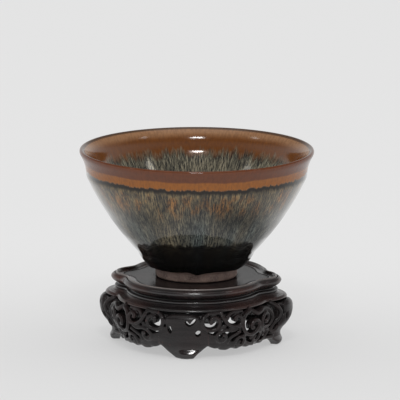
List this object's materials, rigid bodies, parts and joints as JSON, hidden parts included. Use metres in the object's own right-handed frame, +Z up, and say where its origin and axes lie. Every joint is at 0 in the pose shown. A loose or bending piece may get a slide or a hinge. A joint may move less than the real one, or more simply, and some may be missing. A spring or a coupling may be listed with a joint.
{
  "type": "tea bowl on stand",
  "caption": "Conical stoneware tea bowl with a streaked iron glaze, on a fitted lobed hardwood stand with a moulded tray, pierced scroll aprons and lappet legs. The bowl lifts off.",
  "frame": {"origin": "on the ground under the middle of the stand", "axes": "+Z up along the bowl's axis, -Y towards the front foot, +X to the right"},
  "size_m": [0.122, 0.122, 0.1016],
  "materials": {
    "stoneware": "matte",
    "iron_glaze": "gloss",
    "dark_hardwood": "satin",
    "peg_wood": "matte"
  },
  "bodies": {
    "stand": {"tray_rim": "dark_hardwood", "tray_panel": "dark_hardwood", "waist": "dark_hardwood", "shoulder": "dark_hardwood", "leg_front": "dark_hardwood", "leg_right": "dark_hardwood", "leg_back": "dark_hardwood", "leg_left": "dark_hardwood", "apron_front_right": "dark_hardwood", "apron_back_right": "dark_hardwood", "apron_back_left": "dark_hardwood", "apron_front_left": "dark_hardwood", "leg_dowel_front": "peg_wood", "leg_dowel_right": "peg_wood", "leg_dowel_back": "peg_wood", "leg_dowel_left": "peg_wood", "tray_peg_1": "peg_wood", "tray_peg_2": "peg_wood", "tray_peg_3": "peg_wood", "tray_peg_4": "peg_wood"},
    "bowl": {"bowl_body": "stoneware", "bowl_glaze": "iron_glaze"}
  },
  "joints": [
    {"name": "bowl_lift", "type": "slide", "parent": "stand", "child": "bowl", "axis": [0, 0, 1], "range_m": [0, 0.08]}
  ]
}
